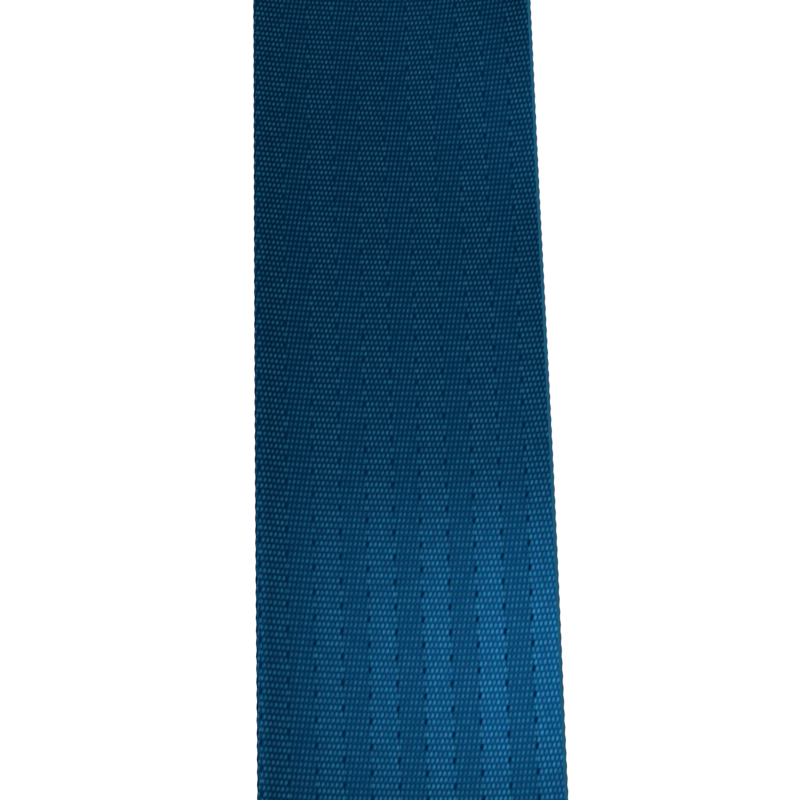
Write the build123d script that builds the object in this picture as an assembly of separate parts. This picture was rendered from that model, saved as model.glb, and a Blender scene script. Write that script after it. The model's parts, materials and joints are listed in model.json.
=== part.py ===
from build123d import *
from math import cos, hypot, radians, sin, sqrt
import os

# Five-point racing harness, laid out flat on the surface it is kept on.
#
# A rotary quick-release buckle lies in the middle. Five belts of 76 mm webbing leave it: two
# shoulder belts (+Y), two lap belts (about -X and +X) and a crotch belt (-Y). Each belt starts
# with a steel tongue and ends in a bolt-in bracket. Shoulder and lap belts carry a tilt-lock
# adjuster near the buckle, and every belt has a three-bar slide that secures its end loop.
#
# Frame: origin under the middle of the buckle, +Z up, +Y along the middle of the two shoulder
# belts. Every belt piece is drawn in a belt frame, with +X outward along the belt from the
# buckle's middle and Y across it, and is then turned about Z to the belt's own heading.
# The knob is in its released position and the latch pins are up, so the tongues can slide out.

# ---- webbing ----
WEB_WIDTH = 76.0
WEB_THICK = 1.5
LAYER_GAP = 0.15
FLOOR_GAP = 0.1
LOWER_Z = FLOOR_GAP + WEB_THICK / 2
UPPER_Z = LOWER_Z + WEB_THICK + LAYER_GAP
SLOT_LENGTH = WEB_WIDTH + 2.6
SOFT_BEND = 8.0

# ---- belts: heading from +X in degrees, and places along the belt from the buckle's middle ----
BELTS = {
    "left_lap": {"heading": 187, "tail": 80, "slide": 400, "end": 462},
    "right_lap": {"heading": -7, "tail": 80, "slide": 400, "end": 462},
    "left_shoulder": {"heading": 122, "tail": 150, "slide": 700, "end": 762},
    "right_shoulder": {"heading": 58, "tail": 150, "slide": 700, "end": 762},
    "crotch": {"heading": 270, "tail": 0, "slide": 260, "end": 322},
}
FIXED_BELT = "left_lap"
ADJUSTED_BELTS = [name for name in BELTS if BELTS[name]["tail"]]

# ---- fits, edges and corners ----
RUNNING_GAP = 0.05
SEAT_GAP = 0.1
PLATE_CHAMFER = 0.4
PLATE_CORNER = 5.0
SLOT_CORNER = 2.0
OVERLAP = 1.0  # how far one feature is sunk into another so that the two fuse
EYE_BEND = 0.95  # share of an eye's radius that rounds the corners of its path
CROTCH_EYE_BEND = 0.9

# ---- buckle: pad, base plate and housing ----
PAD_RADIUS = 43.0
PAD_TOP = 3.0
PAD_ROUND = 1.2
BASE_RADIUS = 39.0
BASE_TOP = 6.0
HOUSING_RADIUS = 41.0
HOUSING_WALL = 4.0
HOUSING_TOP = 24.0
HOUSING_ROOF = 3.4
HOUSING_ROUND = 2.0
MOUTH_SIDE_PLAY = 0.4
MOUTH_PLAY = 0.35
MOUTH_DEPTH = 10.0
WELL_RADIUS = 12.2
WELL_WALL = 2.3
WELL_TOP = 31.0
WELL_ROOF = 1.6
SPINDLE_RADIUS = 4.6
SPINDLE_TOP = 38.0
SPINDLE_FOOT_GAP = 0.2
BOSS_RADIUS = 4.0
SCREW_CIRCLE = 35.5
SCREW_RADIUS = 2.0
SCREW_HEAD_RADIUS = 3.2
SCREW_HEAD_SUNK = 2.0
SCREW_HEAD_PROUD = 0.4
SCREW_HEAD_ROUND = 0.5
SCREW_SOCKET = 1.5
SCREW_SOCKET_DEPTH = 1.5
SCREW_HEADINGS = [25.5, 90, 154.5, 228.5, 311.5]

# ---- latch: turning the knob by LATCH_TURN lowers the latch plate by LATCH_LIFT ----
LATCH_TURN = 60
LATCH_LIFT = 4.6
LATCH_BOTTOM = 17.8
LATCH_THICK = 2.0
LATCH_RADIUS = 31.0
LATCH_BORE_PLAY = 0.6
PIN_CIRCLE = 25.5
PIN_RADIUS = 3.5
PIN_LENGTH = 6.9
PIN_CHAMFER = 0.5
FOOT_CIRCLE = 10.3
FOOT_RADIUS = 1.2
FOOT_LENGTH = 5.3
CAM_DISC_BOTTOM = 6.2
CAM_DISC_TOP = 7.4
CAM_DISC_RADIUS = 13.0
RAMP_INNER = 8.2
RAMP_OUTER = 12.4
RAMP_MIDDLE_Z = 9.5
RAMP_MARGIN = 9
CAM_COUNT = 3
SPRING_WIRE_RADIUS = 0.6
SPRING_RADIUS = 8.0
SPRING_TURNS = 4

# ---- release knob and its screw ----
KNOB_RADIUS = 31.0
KNOB_BOTTOM = 24.5
KNOB_SKIRT_TOP = 32.5
KNOB_TOP = 41.0
KNOB_ROUND = 2.5
KNOB_WELL_PLAY = 0.7
KNOB_WELL_ROOM = 0.4
NOTCH_CIRCLE = 33.5
NOTCH_RADIUS = 5.0
NOTCH_HEADINGS = [30, 150, 210, 330]
FINGER_BAR = (14.0, 58.0)
FINGER_BAR_CORNER = 6.5
FINGER_BAR_ROUND = 2.0
KNOB_SCREW_RADIUS = 2.5
KNOB_SCREW_LENGTH = 9.6
KNOB_SCREW_HEAD_RADIUS = 5.5
KNOB_SCREW_HEAD_HEIGHT = 3.3
KNOB_SCREW_HEAD_ROUND = 0.6
KNOB_SCREW_HEAD_PLAY = 0.2
KNOB_SCREW_SOCKET = 2.9
KNOB_SCREW_SOCKET_DEPTH = 2.2
TAPPED_DEPTH = 10.0

# ---- tongue ----
PLATE_THICK = 3.0
TONGUE_Z = 8.7
TONGUE_TIP = 17.0
TIP_BEVEL = 4.0
BLADE_HALF = 10.5
BLADE_END = 46.0
FLARE_END = 80.0
FLARE_ROUND = 10.0
TONGUE_HALF = 46.0
TONGUE_SLOT = (84.0, 92.5)
TONGUE_BAR = 96.5
TONGUE_END = 100.5
WINDOW_INNER_PLAY = 0.4
WINDOW_OUTER_PLAY = 2.0
WINDOW_WIDTH = 9.0
WINDOW_CORNER = 1.5
EYE_RADIUS = 4.5
EYE_CLOSING = 25.0
EYE_CLOSING_RADIUS = 0.2
RIVET_CIRCLE = 34.0
RIVET_RADIUS = 2.0
RIVET_SPREAD = 6.0

# ---- tilt-lock adjuster: its places along the belt count from its front bar ----
ADJUSTER_PIVOT = 180.0
FRONT_BAR_RADIUS = 4.0
CHEEK_INNER = 39.5
CHEEK_THICK = 3.0
CHEEK_FRONT_RADIUS = 8.0
CHEEK_HEEL = (40.0, 6.0)
CHEEK_HEEL_RADIUS = 5.2
CHEEK_TOP_RADIUS = 5.5
GRIP_X = 22.0
GRIP_RADIUS = 4.5
GRIP_Z = FLOOR_GAP + WEB_THICK + FLOOR_GAP + GRIP_RADIUS
GRIP_HALF = WEB_WIDTH / 2 + 0.6
GRIP_JOURNAL = 3.0
GRIP_PLAY = 0.15
GRIP_TRAVEL = 2.5
FLUTE_RADIUS = 0.7
FLUTE_CIRCLE = 4.85
FLUTE_COUNT = 12
CROSSBAR = (36.0, 48.0)
CROSSBAR_Z = (4.2, 6.7)
CROSSBAR_ROUND = 1.0
RELEASE_BAR = (56.0, 13.2)
RELEASE_BAR_RADIUS = 3.0
WRAP_LANDING = 37.0
WRAP_END = 50.0
STRAP_START = 52.0
TAIL_LEVEL = 58.0
TAIL_DROP = 80.0
HEM_LENGTH = 28.0
HEM_BEND = 0.84

# ---- three-bar slide and end bracket ----
SLIDE_Z = (3.4, 5.9)
SLIDE_LENGTH = 40.0
SLIDE_SLOT = (3.5, 13.0)
HUMP_FOOT = 11.5
HUMP_TOP = 5.0
HUMP_BEND = 2.0
HUMP_SPREAD = 0.38  # share of the layers' step by which the upper hump is wider at each end
RETURN_LENGTH = 50.0
SEWN_LENGTH = 50.0
CROTCH_SEAM = 39.2
END_EYE_RADIUS = 4.6
END_BAR_Z = LOWER_Z + END_EYE_RADIUS + WEB_THICK / 2
END_SLOT = (4.0, 13.0)
BRACKET_HEAD = (-4.0, 24.0)
BRACKET_STEP = (22.0, 32.0)
BRACKET_BEND = 4.0
BOLT_X = 52.0
BOLT_LUG_RADIUS = 17.0
BOLT_HOLE_RADIUS = 5.75
BOLT_LUG_Z = 1.7
FADE_LENGTH = 28.0


def unit(a, b):
    """Direction from point a to point b."""
    length = hypot(b[0] - a[0], b[1] - a[1])
    return (b[0] - a[0]) / length, (b[1] - a[1]) / length


def parallel(points, radii, shift):
    """The corners and corner radii of a path moved to its left by shift."""
    ways = [unit(a, b) for a, b in zip(points, points[1:])]
    first, last = ways[0], ways[-1]
    corners = [(points[0][0] - first[1] * shift, points[0][1] + first[0] * shift)]
    bends = []
    for here, before, after, radius in zip(points[1:], ways, ways[1:], radii):
        spread = 1 + before[0] * after[0] + before[1] * after[1]
        corners.append(
            (
                here[0] - (before[1] + after[1]) * shift / spread,
                here[1] + (before[0] + after[0]) * shift / spread,
            )
        )
        left_turn = before[0] * after[1] - before[1] * after[0] > 0
        bends.append(radius - shift if left_turn else radius + shift)
    corners.append((points[-1][0] - last[1] * shift, points[-1][1] + last[0] * shift))
    return corners, bends


def ribbon(points, radii):
    """Webbing laid along a path of (x, z) points with a bend radius at each inner corner."""
    left, left_bends = parallel(points, radii, WEB_THICK / 2)
    right, right_bends = parallel(points, radii, -WEB_THICK / 2)
    sides = [
        FilletPolyline(*left, radius=left_bends) if left_bends else Line(*left),
        FilletPolyline(*right, radius=right_bends) if right_bends else Line(*right),
    ]
    caps = [Line(left[0], right[0]), Line(left[-1], right[-1])]
    return across(make_face(sides + caps), WEB_WIDTH)


def across(profile, width):
    """A profile drawn in (x, z), given its width across the belt."""
    return extrude(Plane.XZ * profile, amount=width / 2, both=True)


def tangent_height(point, centre, radius, side, at_x):
    """Height at at_x of the line from point that touches a circle above (+1) or below (-1)."""
    dx, dz = centre[0] - point[0], centre[1] - point[1]
    turn = side if dx > 0 else -side
    slope = (dx * dz + turn * radius * sqrt(dx * dx + dz * dz - radius**2)) / (dx * dx - radius**2)
    return point[1] + slope * (at_x - point[0])


def plan(outline, bottom, top):
    """A plan outline made solid from bottom to top."""
    return Pos(0, 0, bottom) * extrude(outline, amount=top - bottom)


def disc(radius, bottom, top):
    """An upright cylinder about the Z axis."""
    return plan(Circle(radius), bottom, top)


def block(x, y, z):
    """A box from three (low, high) pairs."""
    size = [high - low for low, high in (x, y, z)]
    middle = [(high + low) / 2 for low, high in (x, y, z)]
    return Pos(*middle) * Box(*size)


def cross_rod(x, z, radius, half_width):
    """A round bar across the belt."""
    return Pos(x, 0, z) * Rot(90, 0, 0) * Cylinder(radius, 2 * half_width)


def turned(shape, heading):
    """A shape turned from the belt frame to its heading."""
    return Rot(0, 0, heading) * shape


def on_circle(shape, radius, headings):
    """Copies of an upright shape at each heading on a circle."""
    return [Pos(radius * cos(radians(a)), radius * sin(radians(a)), 0) * shape for a in headings]


# ---- buckle ----


def top_rim(shape):
    """The uppermost round edge of a shape."""
    return shape.edges().filter_by(GeomType.CIRCLE).sort_by(Axis.Z)[-1]


def bottom_rim(shape):
    """The lowest round edge of a shape."""
    return shape.edges().filter_by(GeomType.CIRCLE).sort_by(Axis.Z)[0]


def base_pad():
    """Flat pad under the buckle, rounded at its upper rim."""
    return fillet(top_rim(disc(PAD_RADIUS, 0, PAD_TOP)), PAD_ROUND)


def base_plate():
    """Steel disc that the screws, the rivets and the spindle stand in."""
    plate = chamfer(disc(BASE_RADIUS, PAD_TOP, BASE_TOP).edges(), PLATE_CHAMFER)
    plate -= on_circle(disc(SCREW_RADIUS, PAD_TOP, BASE_TOP), SCREW_CIRCLE, SCREW_HEADINGS)
    plate -= [turned(hole, BELTS[FIXED_BELT]["heading"]) for hole in rivets(RIVET_RADIUS)]
    return plate - disc(SPINDLE_RADIUS + RUNNING_GAP, PAD_TOP, BASE_TOP)


def housing():
    """Cover with a well for the spring, five screw bosses and a mouth for each tongue."""
    ceiling, well_ceiling = HOUSING_TOP - HOUSING_ROOF, WELL_TOP - WELL_ROOF
    shell = fillet(top_rim(disc(HOUSING_RADIUS, BASE_TOP, HOUSING_TOP)), HOUSING_ROUND)
    shell = chamfer(bottom_rim(shell), PLATE_CHAMFER)
    well = disc(WELL_RADIUS + WELL_WALL, HOUSING_TOP - OVERLAP, WELL_TOP)
    shell += chamfer(top_rim(well), PLATE_CHAMFER)
    shell -= disc(HOUSING_RADIUS - HOUSING_WALL, BASE_TOP, ceiling)
    shell -= disc(WELL_RADIUS, ceiling, well_ceiling)
    shell += on_circle(disc(BOSS_RADIUS, BASE_TOP, ceiling), SCREW_CIRCLE, SCREW_HEADINGS)
    shell -= disc(SPINDLE_RADIUS + RUNNING_GAP, well_ceiling, WELL_TOP)
    shell -= on_circle(disc(SCREW_RADIUS, BASE_TOP, HOUSING_TOP), SCREW_CIRCLE, SCREW_HEADINGS)
    counterbore = disc(SCREW_HEAD_RADIUS + SEAT_GAP, HOUSING_TOP - SCREW_HEAD_SUNK, HOUSING_TOP)
    shell -= on_circle(counterbore, SCREW_CIRCLE, SCREW_HEADINGS)
    mouth_half = BLADE_HALF + MOUTH_SIDE_PLAY
    mouth_rise = PLATE_THICK / 2 + MOUTH_PLAY
    mouth = block(
        (HOUSING_RADIUS - MOUTH_DEPTH, HOUSING_RADIUS + OVERLAP),
        (-mouth_half, mouth_half),
        (TONGUE_Z - mouth_rise, TONGUE_Z + mouth_rise),
    )
    return shell - [turned(mouth, belt["heading"]) for belt in BELTS.values()]


def housing_screws():
    """The five socket-head screws that hold the housing to the base plate."""
    seat, top = HOUSING_TOP - SCREW_HEAD_SUNK, HOUSING_TOP + SCREW_HEAD_PROUD
    shank = disc(SCREW_RADIUS - RUNNING_GAP, PAD_TOP + SEAT_GAP, seat)
    head = fillet(top_rim(disc(SCREW_HEAD_RADIUS, seat, top)), SCREW_HEAD_ROUND)
    socket = plan(RegularPolygon(SCREW_SOCKET, 6), top - SCREW_SOCKET_DEPTH, top)
    return on_circle(shank + head - socket, SCREW_CIRCLE, SCREW_HEADINGS)


def rivets(radius):
    """The fixed tongue's two rivet shanks, in the belt frame."""
    return [
        Pos(RIVET_CIRCLE, side * RIVET_SPREAD, 0) * disc(radius, PAD_TOP, TONGUE_Z + PLATE_THICK / 2)
        for side in (-1, 1)
    ]


def fixed_tongue_rivets():
    """The two rivets that hold the fixed tongue to the base plate."""
    return [turned(rivet, BELTS[FIXED_BELT]["heading"]) for rivet in rivets(RIVET_RADIUS - RUNNING_GAP)]


def cam_hub():
    """Spindle with a disc and three ramps, whose height follows the knob's turn."""
    hub = disc(CAM_DISC_RADIUS, CAM_DISC_BOTTOM, CAM_DISC_TOP)
    hub += disc(SPINDLE_RADIUS, PAD_TOP + SPINDLE_FOOT_GAP, SPINDLE_TOP)
    half_angle = LATCH_TURN / 2 + RAMP_MARGIN
    slope = LATCH_LIFT / (2 * FOOT_CIRCLE * sin(radians(LATCH_TURN / 2)))
    top = RAMP_MIDDLE_Z + RAMP_OUTER * slope * sin(radians(half_angle))
    reach = 2 * RAMP_OUTER
    corners = [
        (reach * cos(radians(side * half_angle)), reach * sin(radians(side * half_angle)))
        for side in (-1, 1)
    ]
    ring = Circle(RAMP_OUTER) - Circle(RAMP_INNER)
    sector = ring & make_face(Polyline((0, 0), *corners, close=True))
    wedge = plan(sector, CAM_DISC_TOP - OVERLAP, top + OVERLAP)
    above = make_face(
        Polyline(
            (-reach, RAMP_MIDDLE_Z - reach * slope),
            (reach, RAMP_MIDDLE_Z + reach * slope),
            (reach, RAMP_MIDDLE_Z + 2 * reach * slope),
            (-reach, RAMP_MIDDLE_Z + 2 * reach * slope),
            close=True,
        )
    )
    ramp = wedge - extrude(Plane.YZ * above, amount=reach)
    for number in range(CAM_COUNT):
        hub += Rot(0, 0, number * 360 / CAM_COUNT - LATCH_TURN / 2) * ramp
    return hub - disc(KNOB_SCREW_RADIUS + RUNNING_GAP, SPINDLE_TOP - TAPPED_DEPTH, SPINDLE_TOP)


def latch_plate():
    """Plate that the cam lowers, with a pin for each loose tongue and a foot on each ramp."""
    top = LATCH_BOTTOM + LATCH_THICK
    plate = disc(LATCH_RADIUS, LATCH_BOTTOM, top)
    pin = disc(PIN_RADIUS, LATCH_BOTTOM - PIN_LENGTH, LATCH_BOTTOM)
    loose = [belt["heading"] for name, belt in BELTS.items() if name != FIXED_BELT]
    plate += on_circle(chamfer(bottom_rim(pin), PIN_CHAMFER), PIN_CIRCLE, loose)
    foot = disc(FOOT_RADIUS, LATCH_BOTTOM - FOOT_LENGTH, LATCH_BOTTOM)
    plate += on_circle(foot, FOOT_CIRCLE, [n * 360 / CAM_COUNT for n in range(CAM_COUNT)])
    return plate - disc(SPINDLE_RADIUS + LATCH_BORE_PLAY, LATCH_BOTTOM, top)


def return_spring():
    """Coil between the latch plate and the well's roof."""
    bottom = LATCH_BOTTOM + LATCH_THICK + SPRING_WIRE_RADIUS + SEAT_GAP
    height = WELL_TOP - WELL_ROOF - SPRING_WIRE_RADIUS - SEAT_GAP - bottom
    path = Helix(height / SPRING_TURNS, height, SPRING_RADIUS, center=(0, 0, bottom))
    section = Plane(origin=path @ 0, z_dir=path % 0) * Circle(SPRING_WIRE_RADIUS)
    return sweep(section, path=path, is_frenet=True)


def release_knob():
    """Notched round knob with a finger bar, hollowed over the well and bored for the spindle."""
    knob = fillet(top_rim(disc(KNOB_RADIUS, KNOB_BOTTOM, KNOB_SKIRT_TOP)), KNOB_ROUND)
    knob -= on_circle(disc(NOTCH_RADIUS, KNOB_BOTTOM, KNOB_SKIRT_TOP), NOTCH_CIRCLE, NOTCH_HEADINGS)
    bar = plan(RectangleRounded(*FINGER_BAR, FINGER_BAR_CORNER), KNOB_SKIRT_TOP - OVERLAP, KNOB_TOP)
    knob += fillet(bar.edges().group_by(Axis.Z)[-1], FINGER_BAR_ROUND)
    knob -= disc(WELL_RADIUS + WELL_WALL + KNOB_WELL_PLAY, KNOB_BOTTOM, WELL_TOP + KNOB_WELL_ROOM)
    seat = SPINDLE_TOP + SEAT_GAP
    knob -= disc(SPINDLE_RADIUS + RUNNING_GAP, KNOB_BOTTOM, seat + OVERLAP)
    return knob - disc(KNOB_SCREW_HEAD_RADIUS + KNOB_SCREW_HEAD_PLAY, seat, KNOB_TOP)


def knob_screw():
    """Socket-head screw that holds the knob down on the spindle."""
    seat = SPINDLE_TOP + SEAT_GAP
    top = seat + KNOB_SCREW_HEAD_HEIGHT
    head = fillet(top_rim(disc(KNOB_SCREW_HEAD_RADIUS, seat, top)), KNOB_SCREW_HEAD_ROUND)
    shank = disc(KNOB_SCREW_RADIUS, seat - KNOB_SCREW_LENGTH, seat)
    return head + shank - plan(RegularPolygon(KNOB_SCREW_SOCKET, 6), top - KNOB_SCREW_SOCKET_DEPTH, top)


# ---- belt pieces, each in the belt frame ----


def slot_at(span):
    """Outline of a rounded slot for the webbing, from span[0] to span[1] along the belt."""
    low, high = span
    return Pos((low + high) / 2, 0) * RectangleRounded(high - low, SLOT_LENGTH, SLOT_CORNER)


def flat_plate(outline, bottom, top):
    """A plan outline made a plate, with every edge of its two faces broken."""
    plate = plan(outline, bottom, top)
    return chamfer(plate.edges().filter_by(Plane.XY), PLATE_CHAMFER)


def tongue(fixed):
    """Steel latch tongue: a blade with a window for the latch pin, and a slot and bar for webbing."""
    half = [
        (TONGUE_TIP, BLADE_HALF - TIP_BEVEL),
        (TONGUE_TIP + TIP_BEVEL, BLADE_HALF),
        (BLADE_END, BLADE_HALF),
        (FLARE_END, TONGUE_HALF),
        (TONGUE_END, TONGUE_HALF),
    ]
    outline = make_face(Polyline(*half, *[(x, -y) for x, y in reversed(half)], close=True))
    outline = fillet(outline.vertices().sort_by(Axis.X)[-2:], PLATE_CORNER)
    for place in (BLADE_END, FLARE_END):
        corners = outline.vertices().filter_by_position(Axis.X, place - SEAT_GAP, place + SEAT_GAP)
        outline = fillet(corners, FLARE_ROUND)
    outline -= slot_at(TONGUE_SLOT)
    if fixed:
        outline -= [Pos(RIVET_CIRCLE, side * RIVET_SPREAD) * Circle(RIVET_RADIUS) for side in (-1, 1)]
    else:
        inner = PIN_CIRCLE - PIN_RADIUS - WINDOW_INNER_PLAY
        outer = PIN_CIRCLE + PIN_RADIUS + WINDOW_OUTER_PLAY
        window = RectangleRounded(outer - inner, WINDOW_WIDTH, WINDOW_CORNER)
        outline -= Pos((inner + outer) / 2, 0) * window
    return flat_plate(outline, TONGUE_Z - PLATE_THICK / 2, TONGUE_Z + PLATE_THICK / 2)


def front_loop():
    """Doubled webbing sewn to itself, with an eye round the tongue's bar and one round the adjuster's."""
    outer, half = EYE_RADIUS + WEB_THICK, WEB_THICK + LAYER_GAP / 2
    ends = ((TONGUE_BAR, 1), (ADJUSTER_PIVOT, -1))
    upper = []
    for centre, way in ends:
        seam = (centre + way * FADE_LENGTH, half)
        eye_x = centre - way * outer
        eye = (eye_x, tangent_height(seam, (centre, 0), outer, 1, eye_x))
        upper += [eye, seam] if way > 0 else [seam, eye]
    lower = [(x, -z) for x, z in reversed(upper)]
    bends = [outer * EYE_BEND, SOFT_BEND, SOFT_BEND, outer * EYE_BEND]
    profile = make_face(FilletPolyline(*upper, *lower, radius=bends + bends, close=True))
    for centre, way in ends:
        eye = Pos(centre, 0) * Circle(EYE_RADIUS)
        closing = Pos(centre + way * EYE_CLOSING, 0) * Circle(EYE_CLOSING_RADIUS)
        profile -= make_hull([*eye.edges(), *closing.edges()])
    return Pos(0, 0, TONGUE_Z) * across(profile, WEB_WIDTH)


def adjuster_frame():
    """Two cheeks joined by a front bar, a crossbar that the webbing jams against, and a release bar."""
    cheek = make_hull(
        [
            *(Pos(0, TONGUE_Z) * Circle(CHEEK_FRONT_RADIUS)).edges(),
            *(Pos(*CHEEK_HEEL) * Circle(CHEEK_HEEL_RADIUS)).edges(),
            *(Pos(*RELEASE_BAR) * Circle(CHEEK_TOP_RADIUS)).edges(),
        ]
    )
    slot = SlotCenterToCenter(GRIP_TRAVEL, 2 * (GRIP_JOURNAL + GRIP_PLAY))
    cheek -= Pos(GRIP_X - GRIP_TRAVEL / 2, GRIP_Z) * slot
    bar_half = CHEEK_INNER + OVERLAP
    frame = cross_rod(0, TONGUE_Z, FRONT_BAR_RADIUS, bar_half)
    for side in (-1, 1):
        plate = extrude(Plane.XZ.offset(side * CHEEK_INNER) * cheek, amount=side * CHEEK_THICK)
        frame += chamfer(plate.edges().filter_by(Plane.XZ), PLATE_CHAMFER)
    frame += cross_rod(*RELEASE_BAR, RELEASE_BAR_RADIUS, bar_half)
    crossbar = block(CROSSBAR, (-bar_half, bar_half), CROSSBAR_Z)
    frame += fillet(crossbar.edges().filter_by(Axis.Y), CROSSBAR_ROUND)
    return Pos(ADJUSTER_PIVOT, 0, 0) * frame


def grip_bar():
    """The sliding bar that the webbing wraps: knurled by flutes, with a journal in each cheek."""
    knurled = cross_rod(0, 0, GRIP_RADIUS, GRIP_HALF)
    flute = cross_rod(0, FLUTE_CIRCLE, FLUTE_RADIUS, WEB_WIDTH / 2)
    knurled -= [Rot(0, n * 360 / FLUTE_COUNT, 0) * flute for n in range(FLUTE_COUNT)]
    bar = knurled + cross_rod(0, 0, GRIP_JOURNAL, CHEEK_INNER + CHEEK_THICK + OVERLAP)
    return Pos(ADJUSTER_PIVOT + GRIP_X, 0, GRIP_Z) * bar


def grip_wrap():
    """The short stretch of webbing that turns round the grip bar."""
    radius = GRIP_Z - LOWER_Z
    front = GRIP_X - radius
    over = CROSSBAR_Z[1] + FLOOR_GAP + WEB_THICK / 2
    landing = (WRAP_LANDING, over)
    crown = tangent_height(landing, (GRIP_X, GRIP_Z), radius, 1, front)
    path = [(WRAP_END, LOWER_Z), (front, LOWER_Z), (front, crown), landing, (WRAP_END, over)]
    bends = [radius * EYE_BEND, radius * EYE_BEND, SOFT_BEND]
    return Pos(ADJUSTER_PIVOT, 0, 0) * ribbon(path, bends)


def tail(length):
    """The free end of an adjusted belt, lying on the belt, with a folded hem."""
    over = CROSSBAR_Z[1] + FLOOR_GAP + WEB_THICK / 2
    end = STRAP_START + length
    hem_z = UPPER_Z + 2 * HEM_BEND
    path = [
        (STRAP_START, over),
        (TAIL_LEVEL, over),
        (TAIL_DROP, UPPER_Z),
        (end, UPPER_Z),
        (end, hem_z),
        (end - HEM_LENGTH, hem_z),
    ]
    return Pos(ADJUSTER_PIVOT, 0, 0) * ribbon(path, [SOFT_BEND, 2 * SOFT_BEND, HEM_BEND, HEM_BEND])


def end_loop(slide, end):
    """Path and bends from the slide, round the bracket's bar and back through the slide."""
    rise = SLIDE_Z[1] + FLOOR_GAP + WEB_THICK / 2
    step = UPPER_Z - LOWER_Z
    spread = HUMP_SPREAD * step
    radius = END_BAR_Z - LOWER_Z
    far = end + radius
    landing = (end - FADE_LENGTH, UPPER_Z)
    crown = tangent_height(landing, (end, END_BAR_Z), radius, 1, far)
    lower = [(-HUMP_FOOT, LOWER_Z), (-HUMP_TOP, rise), (HUMP_TOP, rise), (HUMP_FOOT, LOWER_Z)]
    upper = [
        (HUMP_FOOT + spread, UPPER_Z),
        (HUMP_TOP + spread, rise + step),
        (-HUMP_TOP - spread, rise + step),
        (-HUMP_FOOT - spread, UPPER_Z),
    ]
    path = [(slide + x, z) for x, z in lower]
    path += [(far, LOWER_Z), (far, crown), landing]
    path += [(slide + x, z) for x, z in upper]
    path += [(slide - RETURN_LENGTH, UPPER_Z)]
    hump = [HUMP_BEND] * 4
    return path, hump + [radius * EYE_BEND, radius * EYE_BEND, SOFT_BEND] + hump


def webbing(belt):
    """An adjusted belt's main webbing and its tail."""
    path, bends = end_loop(belt["slide"], belt["end"])
    start = (ADJUSTER_PIVOT + STRAP_START, LOWER_Z)
    return [ribbon([start] + path, bends), tail(belt["tail"])]


def crotch_webbing(belt):
    """The crotch belt's webbing: sewn round the tongue's bar, then on to its slide and bracket."""
    radius = EYE_RADIUS + WEB_THICK / 2
    near = TONGUE_BAR - radius
    centre = (TONGUE_BAR, TONGUE_Z)
    seam = TONGUE_BAR + CROTCH_SEAM
    top = tangent_height((seam, UPPER_Z), centre, radius, 1, near)
    bottom = tangent_height((seam, LOWER_Z), centre, radius, -1, near)
    path, bends = end_loop(belt["slide"], belt["end"])
    eye = [(seam + SEWN_LENGTH, UPPER_Z), (seam, UPPER_Z), (near, top), (near, bottom), (seam, LOWER_Z)]
    corner = radius * CROTCH_EYE_BEND
    return ribbon(eye + path, [2 * SOFT_BEND, corner, corner, 2 * SOFT_BEND] + bends)


def slide(belt):
    """Three-bar slide: a flat plate with two slots."""
    outline = RectangleRounded(SLIDE_LENGTH, 2 * TONGUE_HALF, PLATE_CORNER)
    low, high = SLIDE_SLOT
    outline -= [slot_at((low, high)), slot_at((-high, -low))]
    return Pos(belt["slide"], 0, 0) * flat_plate(outline, *SLIDE_Z)


def bracket(belt):
    """Bolt-in end bracket: a slotted plate stepped down to a lug with one bolt hole."""
    start, finish = BRACKET_HEAD
    path = [
        (start, END_BAR_Z),
        (BRACKET_STEP[0], END_BAR_Z),
        (BRACKET_STEP[1], BOLT_LUG_Z),
        (BOLT_X + BOLT_LUG_RADIUS + OVERLAP, BOLT_LUG_Z),
    ]
    upper, upper_bends = parallel(path, [BRACKET_BEND] * 2, PLATE_THICK / 2)
    lower, lower_bends = parallel(path, [BRACKET_BEND] * 2, -PLATE_THICK / 2)
    profile = make_face(
        [
            FilletPolyline(*upper, radius=upper_bends),
            FilletPolyline(*lower, radius=lower_bends),
            Line(upper[0], lower[0]),
            Line(upper[-1], lower[-1]),
        ]
    )
    head = RectangleRounded(finish - start, 2 * TONGUE_HALF, BRACKET_BEND)
    lug = Pos(BOLT_X, 0) * Circle(BOLT_LUG_RADIUS)
    outline = make_hull([*(Pos((start + finish) / 2, 0) * head).edges(), *lug.edges()])
    outline -= slot_at(END_SLOT)
    plate = across(profile, 2 * (TONGUE_HALF + OVERLAP)) & plan(outline, 0, 2 * END_BAR_Z)
    walls = plate.faces().filter_by(lambda face: abs(face.normal_at().Z) < RUNNING_GAP)
    rims = ShapeList(edge for wall in walls for edge in wall.edges().filter_by(Axis.Z, reverse=True))
    plate = chamfer(rims, PLATE_CHAMFER)
    hole = Pos(BOLT_X, 0, 0) * disc(BOLT_HOLE_RADIUS, 0, 2 * END_BAR_Z)
    return Pos(belt["end"], 0, 0) * (plate - hole)


def solids_of(shape):
    """Every solid of a shape or a list of shapes."""
    shapes = shape if isinstance(shape, (list, ShapeList)) else [shape]
    return [solid for item in shapes for solid in item.solids()]


def save(name, shape, colour):
    """Writes one node: its solids, named and coloured, in parts/NAME.step."""
    solids = solids_of(shape)
    whole = solids[0] if len(solids) == 1 else Compound(children=solids)
    whole.label = name
    whole.color = colour
    export_step(whole, f"parts/{name}.step")


STEEL = Color(0.75, 0.75, 0.77)
ALUMINIUM = Color(0.55, 0.56, 0.58)
BLACK = Color(0.05, 0.05, 0.05)
BLUE = Color(0.02, 0.25, 0.42)


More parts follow.
